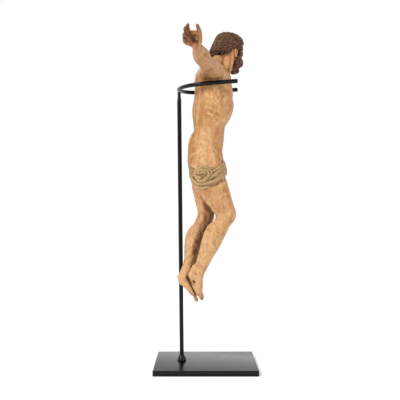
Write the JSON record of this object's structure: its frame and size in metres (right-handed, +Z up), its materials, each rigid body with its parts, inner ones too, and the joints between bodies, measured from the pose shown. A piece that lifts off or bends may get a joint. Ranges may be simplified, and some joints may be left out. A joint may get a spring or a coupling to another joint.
{
  "type": "crucifix corpus figure on a rod stand",
  "caption": "Carved and painted wooden corpus from a crucifix, arms outstretched and feet crossed, held upright by a steel fork on a rod with a square foot plate.",
  "frame": {"origin": "centre of the foot plate's underside", "axes": "+X is the figure's front, +Y is the figure's left, +Z is up"},
  "size_m": [0.19, 0.561, 0.6327],
  "materials": {
    "painted_wood": "aged flesh-coloured paint with yellow and brown stains over carved wood, brown hair and beard, beige cloth",
    "black_paint": "glossy black paint on steel"
  },
  "bodies": {
    "root": {"base_plate": "black_paint", "foot_weld": "black_paint", "upright_rod": "black_paint", "chest_fork": "black_paint", "corpus": "painted_wood"}
  },
  "joints": []
}
